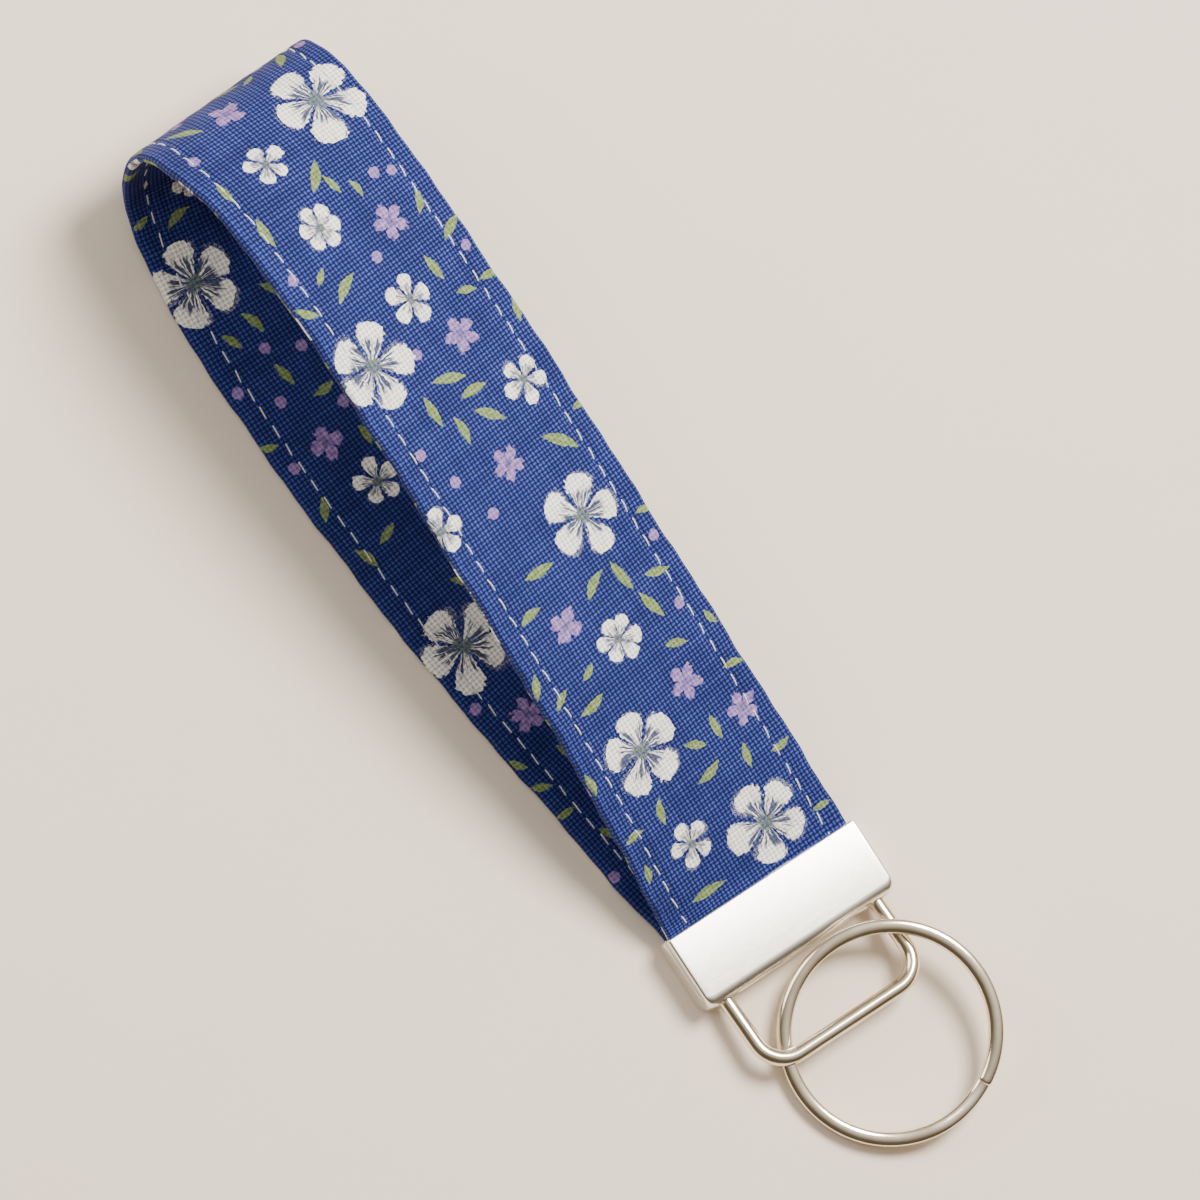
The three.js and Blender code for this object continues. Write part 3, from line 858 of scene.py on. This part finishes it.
def dot(g, cloth):
    """A round lilac berry."""
    _, x, y, _ = g.attribute("dot")
    radius = g.math("SQRT", g.add(g.mul(x, x), g.mul(y, y)))
    rough = g.mul(g.sub(g.noise(cloth, 1.5, 2.0), 0.5), 0.7)
    cover = g.ramp(g.add(g.sub(0.95, radius), rough), 0.0, 0.15)
    return cover, g.mix(g.noise(cloth, 1.2, 1.0), INK_LILAC, INK_LILAC_PALE)


def weave(g, x, y, pitch):
    """Height of a plain weave, 0 to 1, and how much each yarn's own tone varies."""
    u, v = g.mul(x, 1 / pitch), g.mul(y, 1 / pitch)
    cu = g.math("COSINE", g.mul(g.sub(g.math("FRACT", u), 0.5), math.pi))
    cv = g.math("COSINE", g.mul(g.sub(g.math("FRACT", v), 0.5), math.pi))
    parity = g.math("MODULO", g.add(g.math("FLOOR", u), g.math("FLOOR", v)), 2.0)
    sign = g.sub(g.mul(g.math("ABSOLUTE", parity), 2), 1)
    warp = g.mul(cu, g.add(0.62, g.mul(g.mul(sign, cv), 0.38)))
    weft = g.mul(cv, g.sub(0.62, g.mul(g.mul(sign, cu), 0.38)))
    long_warp = g.noise(g.point(g.mul(g.math("FLOOR", u), 3.7), g.mul(v, 0.04)), 1.0, 1.0)
    long_weft = g.noise(g.point(g.mul(u, 0.04), g.mul(g.math("FLOOR", v), 3.7)), 1.0, 1.0)
    return g.math("MAXIMUM", warp, weft), g.mul(g.add(long_warp, long_weft), 0.5)


def cotton_material():
    g = Nodes("printed_cotton")
    cloth, x, y, _ = g.attribute("cloth")
    height, yarn = weave(g, x, y, COTTON_PITCH)
    ground = g.mix(g.ramp(g.noise(cloth, 0.12, 3.0), 0.35, 0.65), INK_BLUE, INK_DEEP)
    ground = g.mix(g.ramp(yarn, 0.40, 0.7, 0.0, 0.5), ground, YARN_PALE)
    yarn_tone = g.ramp(yarn, 0.3, 0.7, 0.93, 1.07)
    # The weave height darkens the ground in the weave's gaps and lightens it on the yarn crowns:
    # painted shade and a painted highlight. yarn_tone is each yarn's own tone.
    colour = g.shade(ground, g.mul(g.ramp(height, 0.44, 0.95, 0.10, 1.28), yarn_tone))
    # The inks are darkened more gently in the weave's gaps, the same way: painted shade, times each
    # yarn's own tone.
    ink_gap_shade_and_yarn_tone = g.mul(g.ramp(height, 0.30, 0.90, 0.62, 1.04), yarn_tone)
    for cover, ink in (
        leaf(g, cloth), dot(g, cloth), blossom(g, cloth),
        flower(g, cloth, "small", 5, 0.47, "few"), flower(g, cloth, "large", 5, 0.53, "many"),
    ):
        show = g.mul(cover, g.ramp(height, 0.18, 0.5, 0.82, 1.0))
        colour = g.mix(show, colour, g.shade(ink, ink_gap_shade_and_yarn_tone))
    fuzz = g.noise(cloth, 9.0, 2.0)
    lumps = g.noise(g.point(x, g.mul(y, 0.5)), 0.35, 2.0)
    relief = g.add(g.mul(height, 0.9), g.mul(fuzz, 0.25))
    normal = g.bump(lumps, 0.25 * MM, 0.35)
    return g.finish(
        Base_Color=colour, Roughness=g.ramp(fuzz, 0.2, 0.8, 0.78, 0.95),
        Normal=g.bump(relief, 0.09 * MM, 0.9, normal),
        Sheen_Weight=0.03, Sheen_Roughness=0.5, Specular_IOR_Level=0.2,
    )


def thread_material():
    g = Nodes("sewing_thread")
    mark, around, along, _ = g.attribute("twist")
    ply = g.math("SINE", g.mul(g.add(g.mul(around, 2), g.mul(along, 2.2)), 2 * math.pi))
    # The thread's colour is darkened in the grooves between its plies: painted shade.
    tone = g.ramp(ply, -1.0, 0.6, 0.72, 1.0)
    fuzz = g.noise(mark, 7.0, 2.0)
    colour = g.mix(fuzz, THREAD_CREAM, THREAD_WHITE)
    return g.finish(
        Base_Color=g.shade(colour, tone), Roughness=g.ramp(fuzz, 0.2, 0.8, 0.5, 0.75),
        Normal=g.bump(ply, 0.05 * MM, 0.7), Sheen_Weight=0.2, Sheen_Roughness=0.4,
    )


def object_place(g):
    """The piece's own coordinates in millimetres."""
    return g.shade(g.node("ShaderNodeTexCoord").outputs["Object"], 1 / MM)


def webbing_material():
    g = Nodes("webbing")
    place = object_place(g)
    parts = g.node("ShaderNodeSeparateXYZ", {"Vector": place})
    height, yarn = weave(g, parts.outputs[0], parts.outputs[1], WEBBING_PITCH)
    colour = g.mix(yarn, WEBBING_DARK, WEBBING_PALE)
    # The colour is darkened where the weave dips between the yarns: painted shade.
    return g.finish(
        Base_Color=g.shade(colour, g.ramp(height, 0.2, 0.9, 0.6, 1.0)), Roughness=0.9,
        Normal=g.bump(height, 0.15 * MM, 0.8), Sheen_Weight=0.1,
    )


def metal_material(name, colour, dull, roughness, brush, scratches):
    """Nickel plate: a slow tone change, fine brush lines and a few dull marks."""
    g = Nodes(name)
    place = object_place(g)
    brushed = g.node("ShaderNodeMapping", {"Vector": place, "Scale": brush}).outputs[0]
    lines = g.noise(brushed, 1.0, 3.0)
    marks = g.ramp(g.noise(place, 3.1, 4.0), 0.60, 0.70, 0.0, scratches)
    base = g.mix(g.ramp(g.noise(place, 0.28, 3.0), 0.35, 0.68), colour, dull)
    base = g.mix(g.mul(marks, 0.5), base, dull)
    rough = g.add(g.ramp(lines, 0.3, 0.7, roughness * 0.92, roughness * 1.08), g.mul(marks, 0.1))
    return g.finish(Base_Color=base, Metallic=1.0, Roughness=rough)


# ------------------------------------------------------------------ pieces

cotton = cotton_material()
thread = thread_material()
satin = metal_material(
    "satin_nickel", (0.98, 0.93, 0.855, 1), (0.965, 0.91, 0.83, 1), 0.25, (0.5, 6.0, 6.0), 0.2,
)
bright = metal_material(
    "bright_nickel", (0.87, 0.775, 0.62, 1), (0.77, 0.67, 0.50, 1), 0.15, (0.6, 0.6, 0.6), 0.4,
)


def dress(piece, material, slot, body, *nodes):
    """Gives a piece its material and its body, and hides the CAD nodes it stands in for. The slot
    argument is not used.
    """
    piece.data.materials.clear()
    piece.data.materials.append(material)
    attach(piece, body)
    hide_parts(*nodes)


dress(build_cover(), cotton, "printed_cotton", "strap_and_clamp", "strap_cover")
for side, side_name in ((-1, "left"), (1, "right")):
    for face, kind in ((1, "needle"), (-1, "bobbin")):
        stitches = build_stitches(f"{kind}_stitches_{side_name}", side, face)
        dress(stitches, thread, "thread", "strap_and_clamp", f"{kind}_thread_{side_name}")
dress(build_clamp(), satin, "clamp_nickel", "strap_and_clamp", "clamp_shell")
dress(build_wire_loop(), bright, "wire_nickel", "wire_loop", "wire_loop")
dress(build_split_ring(), bright, "ring_nickel", "split_ring", "split_ring")

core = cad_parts["strap_core"]
core.data.materials.clear()
core.data.materials.append(webbing_material())

# ------------------------------------------------------------------ floor and light


FLOOR_HALF = 1500
# The studio's soft light: where it is brightest, and its colour by the cosine from there.
SOFTBOX = (0.42, 0.22, 0.88)
SKY = (
    (0.42, (0.13, 0.105, 0.075)),
    (0.72, (0.50, 0.46, 0.40)),
    (0.93, (1.12, 1.07, 1.0)),
)
SKY_STRENGTH = 1.1


def make_floor():
    corners = [(FLOOR_HALF * x, FLOOR_HALF * y, 0) for x, y in ((-1, -1), (1, -1), (1, 1), (-1, 1))]
    floor = build_mesh("floor", corners, [(0, 1, 2, 3)], smooth=False)
    g = Nodes("floor")
    tone = g.noise(object_place(g), 0.05, 2.0)
    colour = g.mix(tone, FLOOR_DARK, FLOOR_PALE)
    floor.data.materials.append(g.finish(Base_Color=colour, Roughness=0.85))


def make_light(name, place, size, power, colour):
    """An area light at a place in the camera's own axes, right, up and back, facing the part."""
    right, up, back = place
    light = bpy.data.objects.new(name, bpy.data.lights.new(name, "AREA"))
    light.data.shape = "DISK"
    light.data.size = size
    light.data.energy = power
    light.data.color = colour
    offset = VIEW_RIGHT * right + VIEW_UP * up + VIEW_BACK * back
    light.location = VIEW_TARGET + offset
    light.rotation_euler = offset.to_track_quat("Z", "Y").to_euler()
    bpy.context.scene.collection.objects.link(light)


def make_world():
    """Surrounds the part with the soft light's fall-off."""
    world = bpy.data.worlds.new("studio")
    bpy.context.scene.world = world
    world.use_nodes = True
    background = world.node_tree.nodes["Background"]
    nodes, links = world.node_tree.nodes, world.node_tree.links
    direction = nodes.new("ShaderNodeTexCoord")
    toward = nodes.new("ShaderNodeVectorMath")
    toward.operation = "DOT_PRODUCT"
    toward.inputs[1].default_value = Vector(SOFTBOX).normalized()
    ramp = nodes.new("ShaderNodeValToRGB")
    links.new(direction.outputs["Generated"], toward.inputs[0])
    links.new(toward.outputs["Value"], ramp.inputs[0])
    links.new(ramp.outputs[0], background.inputs[0])
    stops = ramp.color_ramp.elements
    stops.new(SKY[1][0])
    for stop, (position, colour) in zip(stops, SKY):
        stop.position = position
        stop.color = (*colour, 1)
    background.inputs[1].default_value = SKY_STRENGTH


make_floor()
make_light("key", (0.42, 0.40, 0.62), 0.36, 16.5, (1.0, 0.965, 0.92))
make_light("fill", (-0.5, 0.3, 0.6), 0.5, 3.4, (1.0, 0.98, 0.96))
make_world()
